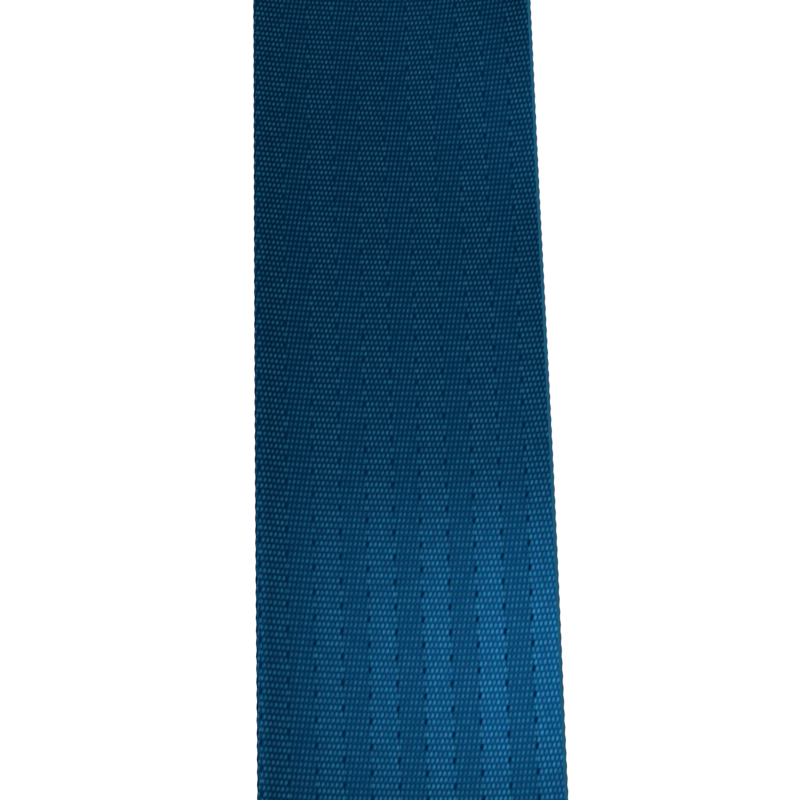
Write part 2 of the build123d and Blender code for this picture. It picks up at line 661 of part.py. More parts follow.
def main():
    os.makedirs("parts", exist_ok=True)
    save("base_pad", base_pad(), BLACK)
    save("base_plate", base_plate(), STEEL)
    save("housing", housing(), ALUMINIUM)
    save("housing_screws", housing_screws(), BLACK)
    save("fixed_tongue_rivets", fixed_tongue_rivets(), STEEL)
    save("cam_hub", cam_hub(), STEEL)
    save("latch_plate", latch_plate(), STEEL)
    save("return_spring", return_spring(), STEEL)
    save("release_knob", release_knob(), BLACK)
    save("knob_screw", knob_screw(), BLACK)
    for name, belt in BELTS.items():
        pieces = {"tongue": (tongue(name == FIXED_BELT), STEEL)}
        if name in ADJUSTED_BELTS:
            pieces["front_loop"] = (front_loop(), BLUE)
            pieces["adjuster_frame"] = (adjuster_frame(), BLACK)
            pieces["grip_bar"] = (grip_bar(), STEEL)
            pieces["grip_wrap"] = (grip_wrap(), BLUE)
            pieces["webbing"] = (webbing(belt), BLUE)
        else:
            pieces["webbing"] = (crotch_webbing(belt), BLUE)
        pieces["slide"] = (slide(belt), BLACK)
        pieces["bracket"] = (bracket(belt), STEEL)
        for piece, (shape, colour) in pieces.items():
            solids = [turned(solid, belt["heading"]) for solid in solids_of(shape)]
            save(f"{name}_{piece}", solids, colour)


main()
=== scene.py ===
"""Webbing, sewing, finishes and stage for a five-point racing harness, laid round its packed frame."""

import json
from bisect import bisect_right
from math import atan2, ceil, cos, hypot, pi, radians, sin, sqrt, tan

import bmesh
import bpy
from bpy.props import FloatProperty, FloatVectorProperty, IntProperty, PointerProperty
from mathutils import Matrix, Vector


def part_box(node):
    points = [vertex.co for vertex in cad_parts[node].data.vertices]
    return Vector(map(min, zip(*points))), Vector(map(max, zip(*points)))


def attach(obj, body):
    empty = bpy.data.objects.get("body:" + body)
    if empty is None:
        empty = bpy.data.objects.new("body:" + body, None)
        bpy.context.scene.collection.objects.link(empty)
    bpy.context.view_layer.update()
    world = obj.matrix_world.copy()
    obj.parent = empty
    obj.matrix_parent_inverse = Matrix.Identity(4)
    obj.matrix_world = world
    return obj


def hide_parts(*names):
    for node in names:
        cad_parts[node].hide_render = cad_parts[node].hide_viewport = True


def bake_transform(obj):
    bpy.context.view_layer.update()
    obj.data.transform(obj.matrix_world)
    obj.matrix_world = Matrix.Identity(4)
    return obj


bl_info = {
    "name": "Racing Harness",
    "version": (1, 0, 0),
    "blender": (4, 5, 0),
    "location": "3D View > Sidebar > Harness",
    "description": "Lays woven webbing, sewing and finishes round a five-point racing harness",
    "category": "Object",
}

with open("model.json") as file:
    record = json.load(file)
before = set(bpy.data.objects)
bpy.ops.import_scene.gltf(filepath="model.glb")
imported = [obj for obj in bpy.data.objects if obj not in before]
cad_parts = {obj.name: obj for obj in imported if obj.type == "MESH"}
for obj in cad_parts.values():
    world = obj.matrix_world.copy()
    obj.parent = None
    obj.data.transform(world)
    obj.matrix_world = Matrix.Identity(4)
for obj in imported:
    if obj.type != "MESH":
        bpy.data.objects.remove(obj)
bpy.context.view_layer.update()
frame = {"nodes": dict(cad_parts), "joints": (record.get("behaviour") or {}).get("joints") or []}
JOINTS = {joint["name"]: joint for joint in frame["joints"]}
MM = 0.001
WEAVE_MAP = "weave"

# ---- how the webbing lies, in a belt's own upright plane ----
# The grip bar, crossbar, wrap and tail are placed from the adjuster's front bar, and the hump's foot and
# top from the slide's middle.
LAYER_GAP = 0.15 * MM
LOWER_Z = 0.85 * MM
SOFT_BEND = 8 * MM
GRIP_X = 22 * MM
GRIP_Z = 6.2 * MM
CROSSBAR_X = 36 * MM
CROSSBAR_LEVEL = 1 * MM
OVER_CROSSBAR_Z = 7.55 * MM
WRAP_END = 50 * MM
TAIL_LENGTHS = {"shoulder": 150 * MM, "lap": 80 * MM}
TAIL_START = 52 * MM
TAIL_LEVEL = 6 * MM
TAIL_DROP = 80 * MM
HEM_LENGTH = 28 * MM
HEM_BEND = 0.84 * MM
SLIDE_TOP = 5.9 * MM
SLIDE_CLEARANCE = 0.1 * MM
HUMP_FOOT = 11.5 * MM
HUMP_TOP = 5 * MM
HUMP_BEND = 2 * MM
RETURN_LENGTH = 50 * MM
END_FADE = 28 * MM
LOOP_FADE = 28 * MM
SEWN_LENGTH = 50 * MM
EYE_RADIUS = 5.25 * MM
EYE_BEND = 0.9 * EYE_RADIUS
EYE_TO_SEAM = 1.4 * END_FADE
# The share of a bar's radius that the webbing's corners round it are bent to.
BAR_BEND = 0.95
# How much further out the returning layer bends at the slide, as a share of a layer's height.
RETURN_SPREAD = 0.38

# ---- how a shoulder belt's bare stretch leaves the floor, by places along the belt ----
CREST = 488 * MM
CREST_NEAR = 100 * MM
CREST_FAR = 186 * MM
CUP_START = 385 * MM
CUP_FADE_IN = 95 * MM
CUP_END = 636 * MM
CUP_FADE_OUT = 40 * MM
# The share of the cup that is curl close to the edges.
EDGE_CURL = 0.25
LIFT_REACH = 75 * MM
LIFT_CURVE = 1.2

# ---- how the strips and seams are shaped ----
# The share of the webbing's thickness that each rounded corner of its selvedge takes.
SELVEDGE_ROUND = 0.42
SELVEDGE_BAND = 0.3 * MM
SAME_PLACE = 0.1 * MM
# Half a stitch's length, as a share of the stitches' spacing.
HALF_STITCH = 0.46
LOOP_SEAM = 13 * MM
LOOP_JOINT = 0.5 * MM
SEAM_INSET = 5 * MM
HEM_INSET = 4 * MM

# ---- two pairs of places along a strap, from the adjuster's front bar, that are worked out and not used ----
STRAP_BLEND = (WRAP_END + 6 * MM, WRAP_END + 70 * MM)
TURN_BLEND = (GRIP_X + 5 * MM, WRAP_END - 2 * MM)

# ---- the weave's warp floats, in shares of a pick and of the floats' spacing ----
TWILL_REPEAT = 4
FLOAT_LEAN = 0.3
FLOAT_HALF_WIDE = 0.5
FLOAT_HALF_TALL = 0.6
FLOAT_OVERLAP = 0.1
# More than a panel's floats, so that no two floats of a pick share a number.
PANEL_STEP = 31
# How bright the knitted selvedge is painted: a painted highlight where its edge catches the light.
PAINTED_KNITTED_HIGHLIGHT = 0.75
# Stretch of the long patches over which the painted glint's strength varies.
GLINT_PATCHES = (260.0, 120.0, 1.0)
BLUER_TINT = (1.5, 0.84, 0.98)

# ---- the stage: metres to the floor's edges, and the camera's sensor in millimetres ----
FLOOR_REACH = 40
SENSOR_WIDTH = 36


class WebbingSettings(bpy.types.PropertyGroup):
    """What the webbing is woven from."""

    width: FloatProperty(
        name="Width",
        description="Width of the webbing",
        default=76 * MM,
        unit="LENGTH",
    )
    thickness: FloatProperty(name="Thickness", description="Thickness", default=1.5 * MM, unit="LENGTH")
    panels: IntProperty(name="Panels", description="Lengthwise herringbone panels", default=11, min=1)
    panel_width: FloatProperty(
        name="Panel width",
        description="Width of one herringbone panel",
        default=6.77 * MM,
        unit="LENGTH",
    )
    first_panel: FloatProperty(
        name="Selvedge",
        description="Width of the plain edge before the panels",
        default=1.2 * MM,
        unit="LENGTH",
    )
    floats_per_panel: IntProperty(
        name="Floats",
        description="Warp floats across a panel",
        default=6,
        min=1,
    )
    pick: FloatProperty(
        name="Pick",
        description="Spacing of the weft picks",
        default=1.69 * MM,
        unit="LENGTH",
    )
    skew: FloatProperty(
        name="Skew",
        description="Slant of the picks across the webbing",
        default=radians(-1.65),
        subtype="ANGLE",
    )
    # Colour of the painted highlight: the glint on the floats' crests and the bright knitted selvedge.
    highlight_colour: FloatVectorProperty(
        name="Float",
        description="Colour of the warp floats",
        subtype="COLOR",
        size=3,
        default=(0.014, 0.15, 0.25),
    )
    gap_colour: FloatVectorProperty(
        name="Gap",
        description="Colour between the floats",
        subtype="COLOR",
        size=3,
        default=(0.0004, 0.02, 0.061),
    )
    knitted_edge: FloatProperty(
        name="Knitted edge",
        description="Width of the selvedge that is knitted off",
        default=0.9 * MM,
        unit="LENGTH",
    )
    sheen_colour: FloatVectorProperty(
        name="Sheen",
        description="Tint of the glancing gloss",
        subtype="COLOR",
        size=3,
        default=(0.15, 0.5, 1.0),
    )
    groove: FloatProperty(
        name="Groove",
        description="Depth of the groove between panels",
        default=0.07 * MM,
        unit="LENGTH",
    )
    scallop: FloatProperty(
        name="Scallop", description="Depth of the selvedge's scallops", default=0.09 * MM, unit="LENGTH"
    )
    wave_height: FloatProperty(
        name="Wave height", description="Rise of the bare webbing's wave", default=6 * MM, unit="LENGTH"
    )
    cup: FloatProperty(
        name="Cup",
        description="Rise of the bare webbing's edges over its middle",
        default=2.8 * MM,
        unit="LENGTH",
    )
    lift: FloatProperty(
        name="Lift",
        description="Further rise of one edge before the slide",
        default=4 * MM,
        unit="LENGTH",
    )


class SewingSettings(bpy.types.PropertyGroup):
    """The thread that the loops and hems are sewn with."""

    stitch: FloatProperty(name="Stitch", description="Stitch spacing", default=3 * MM, unit="LENGTH")
    thread: FloatProperty(
        name="Thread",
        description="Thread thickness",
        default=0.7 * MM,
        unit="LENGTH",
    )
    margin: FloatProperty(name="Margin", description="Seam to edge", default=6 * MM, unit="LENGTH")
    colour: FloatVectorProperty(
        name="Colour",
        description="Colour of the thread",
        subtype="COLOR",
        size=3,
        default=(0.012, 0.1, 0.19),
    )


class HardwareSettings(bpy.types.PropertyGroup):
    """Colours of the metal and rubber parts."""

    plated: FloatVectorProperty(
        name="Plated steel",
        description="Zinc-plated steel",
        subtype="COLOR",
        size=3,
        default=(0.34, 0.35, 0.365),
    )
    aluminium: FloatVectorProperty(
        name="Aluminium",
        description="Clear anodised aluminium",
        subtype="COLOR",
        size=3,
        default=(0.36, 0.365, 0.38),
    )
    black: FloatVectorProperty(
        name="Black",
        description="Black anodising and black oxide",
        subtype="COLOR",
        size=3,
        default=(0.018, 0.018, 0.02),
    )
    rubber: FloatVectorProperty(
        name="Rubber",
        description="Moulded rubber",
        subtype="COLOR",
        size=3,
        default=(0.016, 0.016, 0.017),
    )


class StageSettings(bpy.types.PropertyGroup):
    """Floor, light and camera."""

    lens: FloatProperty(name="Lens", description="Focal length", default=173.3, min=1, unit="CAMERA")
    distance: FloatProperty(
        name="Distance",
        description="Camera to webbing",
        default=1.0,
        unit="LENGTH",
    )
    elevation: FloatProperty(
        name="Elevation", description="Angle above the floor", default=radians(60.1), subtype="ANGLE"
    )
    turn: FloatProperty(
        name="Turn",
        description="Camera's turn from the belt's line",
        default=radians(1.32),
        subtype="ANGLE",
    )
    place: FloatProperty(
        name="Place", description="Place looked at along the belt", default=512 * MM, unit="LENGTH"
    )
    aside: FloatProperty(
        name="Aside",
        description="Place looked at, left of the belt's middle",
        default=0.5 * MM,
        unit="LENGTH",
    )
    floor_colour: FloatVectorProperty(
        name="Floor",
        description="Colour of the floor",
        subtype="COLOR",
        size=3,
        default=(0.15, 0.15, 0.15),
    )
    glow: FloatProperty(name="Glow", description="Light that the floor gives off", default=1.0, min=0)
    ambient: FloatProperty(name="Ambient", description="Light from all round", default=0.2, min=0)
    key: FloatProperty(
        name="Key",
        description="Strength of the soft overhead light",
        default=2.4,
        min=0,
    )
    key_lean: FloatProperty(
        name="Key lean",
        description="Overhead light's lean away from the camera",
        default=radians(8),
        subtype="ANGLE",
    )
    key_side: FloatProperty(
        name="Key side",
        description="Overhead light's lean to the left",
        default=radians(9.5),
        subtype="ANGLE",
    )
    key_spread: FloatProperty(
        name="Key spread",
        description="Apparent size of the overhead light",
        default=radians(9),
        subtype="ANGLE",
    )


# ---- belts, read from the frame ----


class Belt:
    """One belt's heading and the places of its hardware along it."""

    def __init__(self, name):
        self.name = name
        bar = JOINTS[f"{name}_swing"]["pos_m"]
        self.heading = atan2(bar[1], bar[0])
        self.bar, self.bar_z = hypot(*bar[:2]), bar[2]
        bracket = JOINTS[f"{name}_bracket_swivel"]["pos_m"]
        self.end, self.end_z = hypot(*bracket[:2]), bracket[2]
        low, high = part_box(f"{name}_slide")
        self.slide = ((low + high) / 2).xy.length
        tilt = JOINTS.get(f"{name}_adjuster_tilt")
        self.adjuster = hypot(*tilt["pos_m"][:2]) if tilt else None

    @property
    def turned(self):
        """The turn from the X axis to the belt's heading."""
        return Matrix.Rotation(self.heading, 4, "Z")

    def at(self, along, up=0.0):
        """A place along the belt, in the frame."""
        return self.turned @ Vector((along, 0, up))


BELT_NAMES = [joint.removesuffix("_swing") for joint in JOINTS if joint.endswith("_swing")]
BELTS = {name: Belt(name) for name in BELT_NAMES}
ADJUSTED_BELTS = [belt for belt in BELTS.values() if belt.adjuster is not None]


class Route:
    """Straight runs joined by arcs in a belt's upright plane, measured from the first point."""

    def __init__(self, corners, bends):
        corners = [Vector(corner) for corner in corners]
        ways = [(b - a).normalized() for a, b in zip(corners, corners[1:])]
        self.starts, self.legs, self.length = [], [], 0.0
        place = corners[0]
        for corner, before, after, bend in zip(corners[1:], ways, ways[1:], bends):
            turn = atan2(before.cross(after), before.dot(after))
            trim = bend * tan(abs(turn) / 2)
            self._leg((corner - place).length - trim, place, before, 0.0)
            self._leg(bend * abs(turn), corner - before * trim, before, (1 if turn > 0 else -1) / bend)
            place = corner + after * trim
        self._leg((corners[-1] - place).length, place, ways[-1], 0.0)

    def _leg(self, length, place, way, curve):
        self.starts.append(self.length)
        self.legs.append((place, atan2(way.y, way.x), curve))
        self.length += length

    def at(self, run):
        """Place along the belt, height and heading at a run from the start."""
        number = max(bisect_right(self.starts, run) - 1, 0)
        place, heading, curve = self.legs[number]
        ahead = run - self.starts[number]
        if not curve:
            return place.x + cos(heading) * ahead, place.y + sin(heading) * ahead, heading
        turned = heading + curve * ahead
        return (
            place.x + (sin(turned) - sin(heading)) / curve,
            place.y - (cos(turned) - cos(heading)) / curve,
            turned,
        )


def tangent_height(point, centre, radius, side, at_x):
    """Height at at_x of the line from point that touches a circle above (+1) or below (-1)."""
    dx, dz = centre[0] - point[0], centre[1] - point[1]
    turn = side if dx > 0 else -side
    slope = (dx * dz + turn * radius * sqrt(dx * dx + dz * dz - radius**2)) / (dx * dx - radius**2)
    return point[1] + slope * (at_x - point[0])


def upper_z(web):
    """Middle height of a second layer that lies on the first."""
    return LOWER_Z + web.thickness + LAYER_GAP


def end_route(belt, web):
    """Corners and bends from the slide, round the bracket's bar and back through the slide."""
    rise = SLIDE_TOP + SLIDE_CLEARANCE + web.thickness / 2
    top = upper_z(web)
    step = top - LOWER_Z
    spread = RETURN_SPREAD * step
    radius = belt.end_z - LOWER_Z
    far = belt.end + radius
    landing = (belt.end - END_FADE, top)
    crown = tangent_height(landing, (belt.end, belt.end_z), radius, 1, far)
    lower = [(-HUMP_FOOT, LOWER_Z), (-HUMP_TOP, rise), (HUMP_TOP, rise), (HUMP_FOOT, LOWER_Z)]
    upper = [
        (side * (x + spread), z)
        for side, x, z in (
            (1, HUMP_FOOT, top),
            (1, HUMP_TOP, rise + step),
            (-1, HUMP_TOP, rise + step),
            (-1, HUMP_FOOT, top),
        )
    ]
    path = [(belt.slide + x, z) for x, z in lower]
    path += [(far, LOWER_Z), (far, crown), landing]
    path += [(belt.slide + x, z) for x, z in upper]
    path += [(belt.slide - RETURN_LENGTH, top)]
    round_bar = [radius * BAR_BEND, radius * BAR_BEND, SOFT_BEND]
    return path, [HUMP_BEND] * 4 + round_bar + [HUMP_BEND] * 4


def main_route(belt, web):
    """From under the adjuster out to the bracket and back through the slide."""
    path, bends = end_route(belt, web)
    return Route([(belt.adjuster + WRAP_END, LOWER_Z)] + path, bends)


def tail_length(belt):
    """How far a belt's free tail reaches from TAIL_START to its hem."""
    return next(length for kind, length in TAIL_LENGTHS.items() if kind in belt.name)


def tail_route(belt, web):
    """From over the adjuster's crossbar down on to the belt, and back in a hem."""
    top = upper_z(web)
    hem = top + 2 * HEM_BEND
    start, end = belt.adjuster + WRAP_END, belt.adjuster + TAIL_START + tail_length(belt)
    path = [
        (start, OVER_CROSSBAR_Z),
        (belt.adjuster + TAIL_START + TAIL_LEVEL, OVER_CROSSBAR_Z),
        (belt.adjuster + TAIL_DROP, top),
        (end, top),
        (end, hem),
        (end - HEM_LENGTH, hem),
    ]
    return Route(path, [SOFT_BEND, 2 * SOFT_BEND, HEM_BEND, HEM_BEND])


def wrap_route(belt):
    """From under the adjuster, round its grip bar and over its crossbar."""
    radius = GRIP_Z - LOWER_Z
    front = GRIP_X - radius
    landing = (CROSSBAR_X + CROSSBAR_LEVEL, OVER_CROSSBAR_Z)
    crown = tangent_height(landing, (GRIP_X, GRIP_Z), radius, 1, front)
    path = [(WRAP_END, LOWER_Z), (front, LOWER_Z), (front, crown), landing, (WRAP_END, OVER_CROSSBAR_Z)]
    bends = [radius * BAR_BEND, radius * BAR_BEND, SOFT_BEND]
    return Route([(belt.adjuster + x, z) for x, z in path], bends)


def loop_route(belt, web):
    """A closed loop round the tongue's and the adjuster's bars, from the middle of its lower run."""
    half = (web.thickness + LAYER_GAP) / 2
    upper = []
    for centre, way in ((belt.bar, 1), (belt.adjuster, -1)):
        seam = (centre + way * LOOP_FADE, half)
        eye_x = centre - way * EYE_RADIUS
        eye = (eye_x, tangent_height(seam, (centre, 0), EYE_RADIUS, 1, eye_x))
        upper += [eye, seam] if way > 0 else [seam, eye]
    near_eye, near_seam, far_seam, far_eye = upper
    middle = (belt.bar + belt.adjuster) / 2
    path = [
        (middle, -half),
        (far_seam[0], -half),
        (far_eye[0], -far_eye[1]),
        far_eye,
        far_seam,
        near_seam,
        near_eye,
        (near_eye[0], -near_eye[1]),
        (near_seam[0], -half),
        (middle, -half),
    ]
    eye_bend = EYE_RADIUS * BAR_BEND
    bends = [SOFT_BEND, eye_bend, eye_bend, SOFT_BEND, SOFT_BEND, eye_bend, eye_bend, SOFT_BEND]
    return Route([(x, belt.bar_z + z) for x, z in path], bends)


def crotch_route(belt, web):
    """Sewn round the tongue's bar, then out to the slide and bracket."""
    top = upper_z(web)
    near = belt.bar - EYE_RADIUS
    centre = (belt.bar, belt.bar_z)
    seam = belt.bar + EYE_TO_SEAM
    high = tangent_height((seam, top), centre, EYE_RADIUS, 1, near)
    low = tangent_height((seam, LOWER_Z), centre, EYE_RADIUS, -1, near)
    path, bends = end_route(belt, web)
    eye = [(seam + SEWN_LENGTH, top), (seam, top), (near, high), (near, low), (seam, LOWER_Z)]
    eye_bends = [2 * SOFT_BEND, EYE_BEND, EYE_BEND, 2 * SOFT_BEND]
    return Route(eye + path, eye_bends + bends)


def flat_rise(_along, _across):
    """The rise of webbing that lies flat."""
    return 0.0


def hump(distance, reach):
    """1 in the middle, falling evenly to 0 at its reach."""
    return (1 + cos(pi * min(abs(distance) / reach, 1))) / 2


def wave(web):
    """How a shoulder belt's bare stretch leaves the floor: one long low wave, its edges cupped up."""

    def rise(along, across):
        swell = hump(along - CREST, CREST_NEAR if along < CREST else CREST_FAR)
        cupped = hump(min(along - CUP_START, 0), CUP_FADE_IN)
        cupped *= hump(max(along - CUP_END, 0), CUP_FADE_OUT)
        edge = across / (web.width / 2)
        cup = web.cup * ((1 - EDGE_CURL) * edge**2 + EDGE_CURL * edge**6)
        lift = web.lift * max(-edge, 0) ** LIFT_CURVE * hump(along - CUP_END, LIFT_REACH)
        return web.wave_height * swell + (cup + lift) * cupped

    return rise


def rise_of(belt, web):
    """How far a belt's webbing rises above its route: only the long shoulder belts don't lie flat."""
    return wave(web) if "shoulder" in belt.name else flat_rise


# ---- webbing and thread, made flat and then laid along a route ----


def woven_strip(length, web, weave_start=0.0, weave_way=1):
    """A flat strip, ribbed by its panels, with round scalloped selvedges and weave coordinates."""
    half = web.width / 2
    strip = bmesh.new()
    rows = ceil(length / (web.pick / 2))
    bmesh.ops.create_grid(strip, x_segments=rows, y_segments=2 * web.panels, size=0.5)
    bmesh.ops.scale(strip, vec=(length, web.width, 1), verts=strip.verts)
    bmesh.ops.translate(strip, vec=(length / 2, 0, web.thickness / 2), verts=strip.verts)
    bmesh.ops.solidify(strip, geom=strip.faces[:], thickness=web.thickness)
    column = web.width / (2 * web.panels)
    for vert in strip.verts:
        if round((vert.co.y + half) / column) % 2 == 0:
            vert.co.z -= web.groove * (1 if vert.co.z > 0 else -1)
    long_edges = [
        e
        for e in strip.edges
        if all(abs(abs(v.co.y) - half) < SAME_PLACE for v in e.verts)
        and abs(e.verts[0].co.z - e.verts[1].co.z) < SAME_PLACE
    ]
    bmesh.ops.bevel(
        strip,
        geom=long_edges,
        offset=web.thickness * SELVEDGE_ROUND,
        segments=3,
        profile=0.5,
        affect="EDGES",
        material=-1,
    )
    for vert in strip.verts:
        if abs(vert.co.y) > half - SELVEDGE_BAND:
            side = 1 if vert.co.y > 0 else -1
            vert.co.y += side * web.scallop * cos(pi * vert.co.x / web.pick)
    weave = strip.loops.layers.uv.new(WEAVE_MAP)
    for face in strip.faces:
        for loop in face.loops:
            loop[weave].uv = (half - loop.vert.co.y, weave_start - weave_way * loop.vert.co.x)
    return strip


def lay(flat, route, rise=flat_rise):
    """Bends a flat strip, or the thread on it, along a route."""
    for vert in flat.verts:
        along, height, heading = route.at(vert.co.x)
        off = vert.co.z
        place = along - sin(heading) * off
        vert.co = (place, vert.co.y, height + cos(heading) * off + rise(place, vert.co.y))


def box_seam(flat, start, end, web, sewing, crossed=True):
    """Sews a rectangle, with a cross in it or without, between two places along a flat strip."""
    reach = web.width / 2 - sewing.margin
    corners = [(start, -reach), (end, -reach), (end, reach), (start, reach)]
    lines = list(zip(corners, corners[1:] + corners[:1]))
    if crossed:
        lines += [(corners[0], corners[2]), (corners[1], corners[3])]
    for a, b in lines:
        sew(flat, Vector(a), Vector(b), web, sewing)


def sew(flat, a, b, web, sewing):
    """Adds one row of lock stitches on the face that is outermost once the strip has turned back."""
    count = max(round((b - a).length / sewing.stitch), 1)
    way = (b - a) / count
    turn = Matrix.Rotation(atan2(way.y, way.x), 4, "Z")
    size = Matrix.Diagonal((way.length * HALF_STITCH, sewing.thread / 2, sewing.thread / 2, 1))
    for number in range(count):
        middle = a + way * (number + 0.5)
        place = Matrix.Translation((middle.x, middle.y, -web.thickness / 2))
        shape = place @ turn @ size
        bmesh.ops.create_uvsphere(flat, u_segments=8, v_segments=5, radius=1, matrix=shape)


def joined(meshes):
    """One bmesh of several."""
    whole = bmesh.new()
    for part in meshes:
        held = bpy.data.meshes.new("held")
        part.to_mesh(held)
        part.free()
        whole.from_mesh(held)
        bpy.data.meshes.remove(held)
    return whole


def finished_piece(name, shape, material, belt):
    """Turns a belt-frame bmesh to its heading and makes it an object at the origin."""
    bmesh.ops.transform(shape, matrix=belt.turned, verts=shape.verts)
    bmesh.ops.recalc_face_normals(shape, faces=shape.faces)
    for face in shape.faces:
        face.smooth = True
    mesh = bpy.data.meshes.new(name)
    shape.to_mesh(mesh)
    shape.free()
    mesh.materials.append(material)
    piece = bpy.data.objects.new(name, mesh)
    bpy.context.scene.collection.objects.link(piece)
    return piece


# ---- shader maths ----


class Field:
    """A number that varies over a surface. Arithmetic on it adds Math nodes."""

    def __init__(self, finish, socket):
        self.finish, self.socket = finish, socket

    def math(self, operation, *others, first=True):
        values = (self, *others) if first else (*others, self)
        return self.finish.field("ShaderNodeMath", {"operation": operation}, dict(enumerate(values)))

    def __add__(self, other):
        return self.math("ADD", other)

    def __sub__(self, other):
        return self.math("SUBTRACT", other)

    def __rsub__(self, other):
        return self.math("SUBTRACT", other, first=False)

    def __mul__(self, other):
        return self.math("MULTIPLY", other)

    def __truediv__(self, other):
        return self.math("DIVIDE", other)

    __radd__, __rmul__ = __add__, __mul__


class Finish:
    """One material's nodes."""

    def __init__(self, name):
        self.material = bpy.data.materials.new(name)
        self.material.use_nodes = True
        self.tree = self.material.node_tree
        self.tree.nodes.clear()

    def node(self, kind, settings=None, inputs=None):
        """Adds a node, sets it up, and gives its sockets their values or links."""
        made = self.tree.nodes.new(kind)
        for key, value in (settings or {}).items():
            if key == "stops":
                for stop, (position, shade) in zip(self._stops(made, len(value)), value):
                    stop.position, stop.color = position, (shade, shade, shade, 1)
            else:
                setattr(made, key, value)
        for key, value in (inputs or {}).items():
            if isinstance(value, Field):
                self.tree.links.new(value.socket, made.inputs[key])
            else:
                made.inputs[key].default_value = value
        return made

    @staticmethod
    def _stops(ramp, count):
        while len(ramp.color_ramp.elements) < count:
            ramp.color_ramp.elements.new(1)
        return ramp.color_ramp.elements

    def field(self, kind, settings=None, inputs=None, output=0):
        return Field(self, self.node(kind, settings, inputs).outputs[output])

    def noise(self, scale, detail=2.0, vector=None):
        place = vector or self.field("ShaderNodeTexCoord", output="Object")
        inputs = {"Vector": place, "Scale": scale, "Detail": detail}
        return self.field("ShaderNodeTexNoise", None, inputs)

    def stretched(self, place, sizes):
        """Coordinates with each axis scaled by its own amount."""
        return self.field("ShaderNodeVectorMath", {"operation": "MULTIPLY"}, {0: place, 1: sizes})

    def blend(self, factor, a, b):
        """A colour between a and b, through the Mix node's colour sockets."""
        settings = {"data_type": "RGBA"}
        return self.field("ShaderNodeMix", settings, {"Factor": factor, 6: a, 7: b}, output=2)

    def bump(self, height, distance, strength=1.0):
        inputs = {"Height": height, "Distance": distance, "Strength": strength}
        return self.field("ShaderNodeBump", None, inputs)

    def surface(self, **inputs):
        """Ends the material in one Principled shader, whose sockets are named in lower case."""
        shader = self.node("ShaderNodeBsdfPrincipled")
        names = {socket.name.lower().replace(" ", "_"): socket.name for socket in shader.inputs}
        for key, value in inputs.items():
            if isinstance(value, Field):
                self.tree.links.new(value.socket, shader.inputs[names[key]])
            else:
                shader.inputs[names[key]].default_value = value
        self.node("ShaderNodeOutputMaterial", None, {"Surface": Field(self, shader.outputs[0])})
        return self.material


def solid(colour, shade=1.0):
    """An opaque colour, darkened or lightened by its shade."""
    return (*(part * shade for part in colour), 1.0)


def woven_webbing(web):
    """Herringbone twill: warp floats with a painted glint on each crest over dark gaps, mirrored from
    panel to panel.
    """
    cloth = Finish("woven_webbing")
    place = cloth.field("ShaderNodeUVMap", {"uv_map": WEAVE_MAP})
    split = cloth.node("ShaderNodeSeparateXYZ", None, {0: place})
    across, along = Field(cloth, split.outputs[0]), Field(cloth, split.outputs[1])

    # The panels, each the mirror image of the one before.
    panel = (across - web.first_panel) / web.panel_width
    mirrored = panel.math("PINGPONG", 1.0)
    second = (panel / 2).math("FRACT").math("GREATER_THAN", 0.5)
    hand = 1 - second * 2

    # The picks, each shifting the floats by a part of their spacing, and the nearest float in a pick.
    row = (along + across * tan(web.skew)) / web.pick
    row_number = row.math("FLOOR")
    in_row = row - row_number - 0.5
    place_in_row = mirrored * web.floats_per_panel - row_number / TWILL_REPEAT
    leaned = place_in_row + hand * in_row * FLOAT_LEAN
    nearest = (leaned + 0.5).math("FLOOR")
    off = leaned - nearest
    centre = nearest + row_number / TWILL_REPEAT
    inside = centre.math("GREATER_THAN", -FLOAT_OVERLAP)
    inside = inside * centre.math("LESS_THAN", web.floats_per_panel + FLOAT_OVERLAP)

    # Each float is a low dome, with a painted highlight (glint) on its crest that is a little uneven.
    wide, tall = off / FLOAT_HALF_WIDE, in_row / FLOAT_HALF_TALL
    dome = (1 - wide * wide - tall * tall).math("MAXIMUM", 0.0).math("SQRT") * inside
    float_number = nearest + panel.math("FLOOR") * PANEL_STEP
    key = cloth.field("ShaderNodeCombineXYZ", None, {0: float_number, 1: row_number})
    speck = cloth.field("ShaderNodeTexWhiteNoise", {"noise_dimensions": "3D"}, {"Vector": key})
    patch = cloth.noise(1.0, 3.0, cloth.stretched(place, GLINT_PATCHES))
    knitted = across.math("GREATER_THAN", web.width - web.knitted_edge)
    uneven_glint = 0.3 + speck * 0.45 + patch * 0.5
    # Painted sheen: the glint is painted a quarter duller in every second panel.
    painted_panel_sheen = 1 - second * 0.25
    # Painted glint: a narrow painted highlight on the crest of each float.
    crown = dome.math("POWER", 6.0) * uneven_glint * painted_panel_sheen
    # Painted highlight: the glint, and the knitted selvedge painted bright where its edge catches the
    # light.
    light = crown * (1 - knitted) + knitted * PAINTED_KNITTED_HIGHLIGHT
    # The painted highlight's colour, bluer on some floats at random.
    bluer = solid([part * tint for part, tint in zip(web.highlight_colour, BLUER_TINT)])
    highlight_tone = cloth.blend((speck * 7).math("FRACT"), solid(web.highlight_colour), bluer)
    return cloth.surface(
        base_color=cloth.blend(light, solid(web.gap_colour), highlight_tone),
        roughness=0.4 + second * 0.05,
        metallic=inside * (1 - dome * 0.74) * (1 - knitted),
        normal=cloth.bump(dome, 0.05 * MM, 0.5),
        specular_ior_level=0.0,
        specular_tint=solid(web.sheen_colour),
    )


def sewing_thread(sewing):
    """Waxed thread with a fine twist."""
    thread = Finish("sewing_thread")
    grain = thread.noise(2500.0, 1.0)
    colour = thread.blend(grain, solid(sewing.colour), solid(sewing.colour, 2.6))
    return thread.surface(base_color=colour, roughness=0.6, normal=thread.bump(grain, 0.05 * MM))


